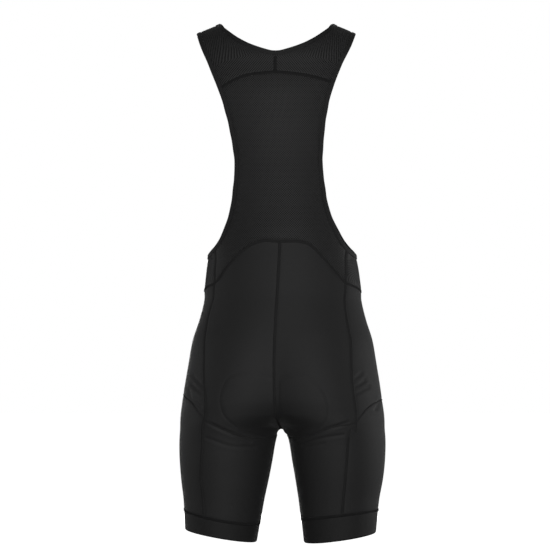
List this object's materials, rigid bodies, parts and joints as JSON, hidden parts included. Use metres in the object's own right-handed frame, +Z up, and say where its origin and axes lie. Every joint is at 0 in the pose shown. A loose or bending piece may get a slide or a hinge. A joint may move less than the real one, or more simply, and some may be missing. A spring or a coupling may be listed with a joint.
{
  "type": "cycling bib shorts",
  "caption": "Close-fitting cycling shorts with a mesh back, shoulder straps, front bib and seat pad, hollow as worn.",
  "frame": {"origin": "midway between the tops of the two shoulder straps, at the height of their inner ends, where the wearer's shoulders carry the garment", "axes": "+Z up along the wearer's body, the front faces -Y, the wearer's left is +X"},
  "size_m": [0.3624, 0.2542, 0.913],
  "materials": {
    "mesh": "matt open knit",
    "lycra": "smooth stretch knit",
    "band": "smooth stretch band",
    "binding": "folded elastic tape",
    "pad": "brushed foam-backed cloth"
  },
  "bodies": {
    "root": {"back_mesh": "mesh", "yoke_strap_left": "mesh", "yoke_strap_right": "mesh", "front_bib": "mesh", "seat_left": "lycra", "seat_right": "lycra", "hip_front_left": "lycra", "hip_front_right": "lycra", "thigh_front_left": "lycra", "thigh_front_right": "lycra", "back_leg_left": "lycra", "back_leg_right": "lycra", "leg_band_left": "band", "leg_band_right": "band", "neck_binding": "binding", "armhole_binding_left": "binding", "armhole_binding_right": "binding", "seat_pad": "pad"}
  },
  "joints": []
}
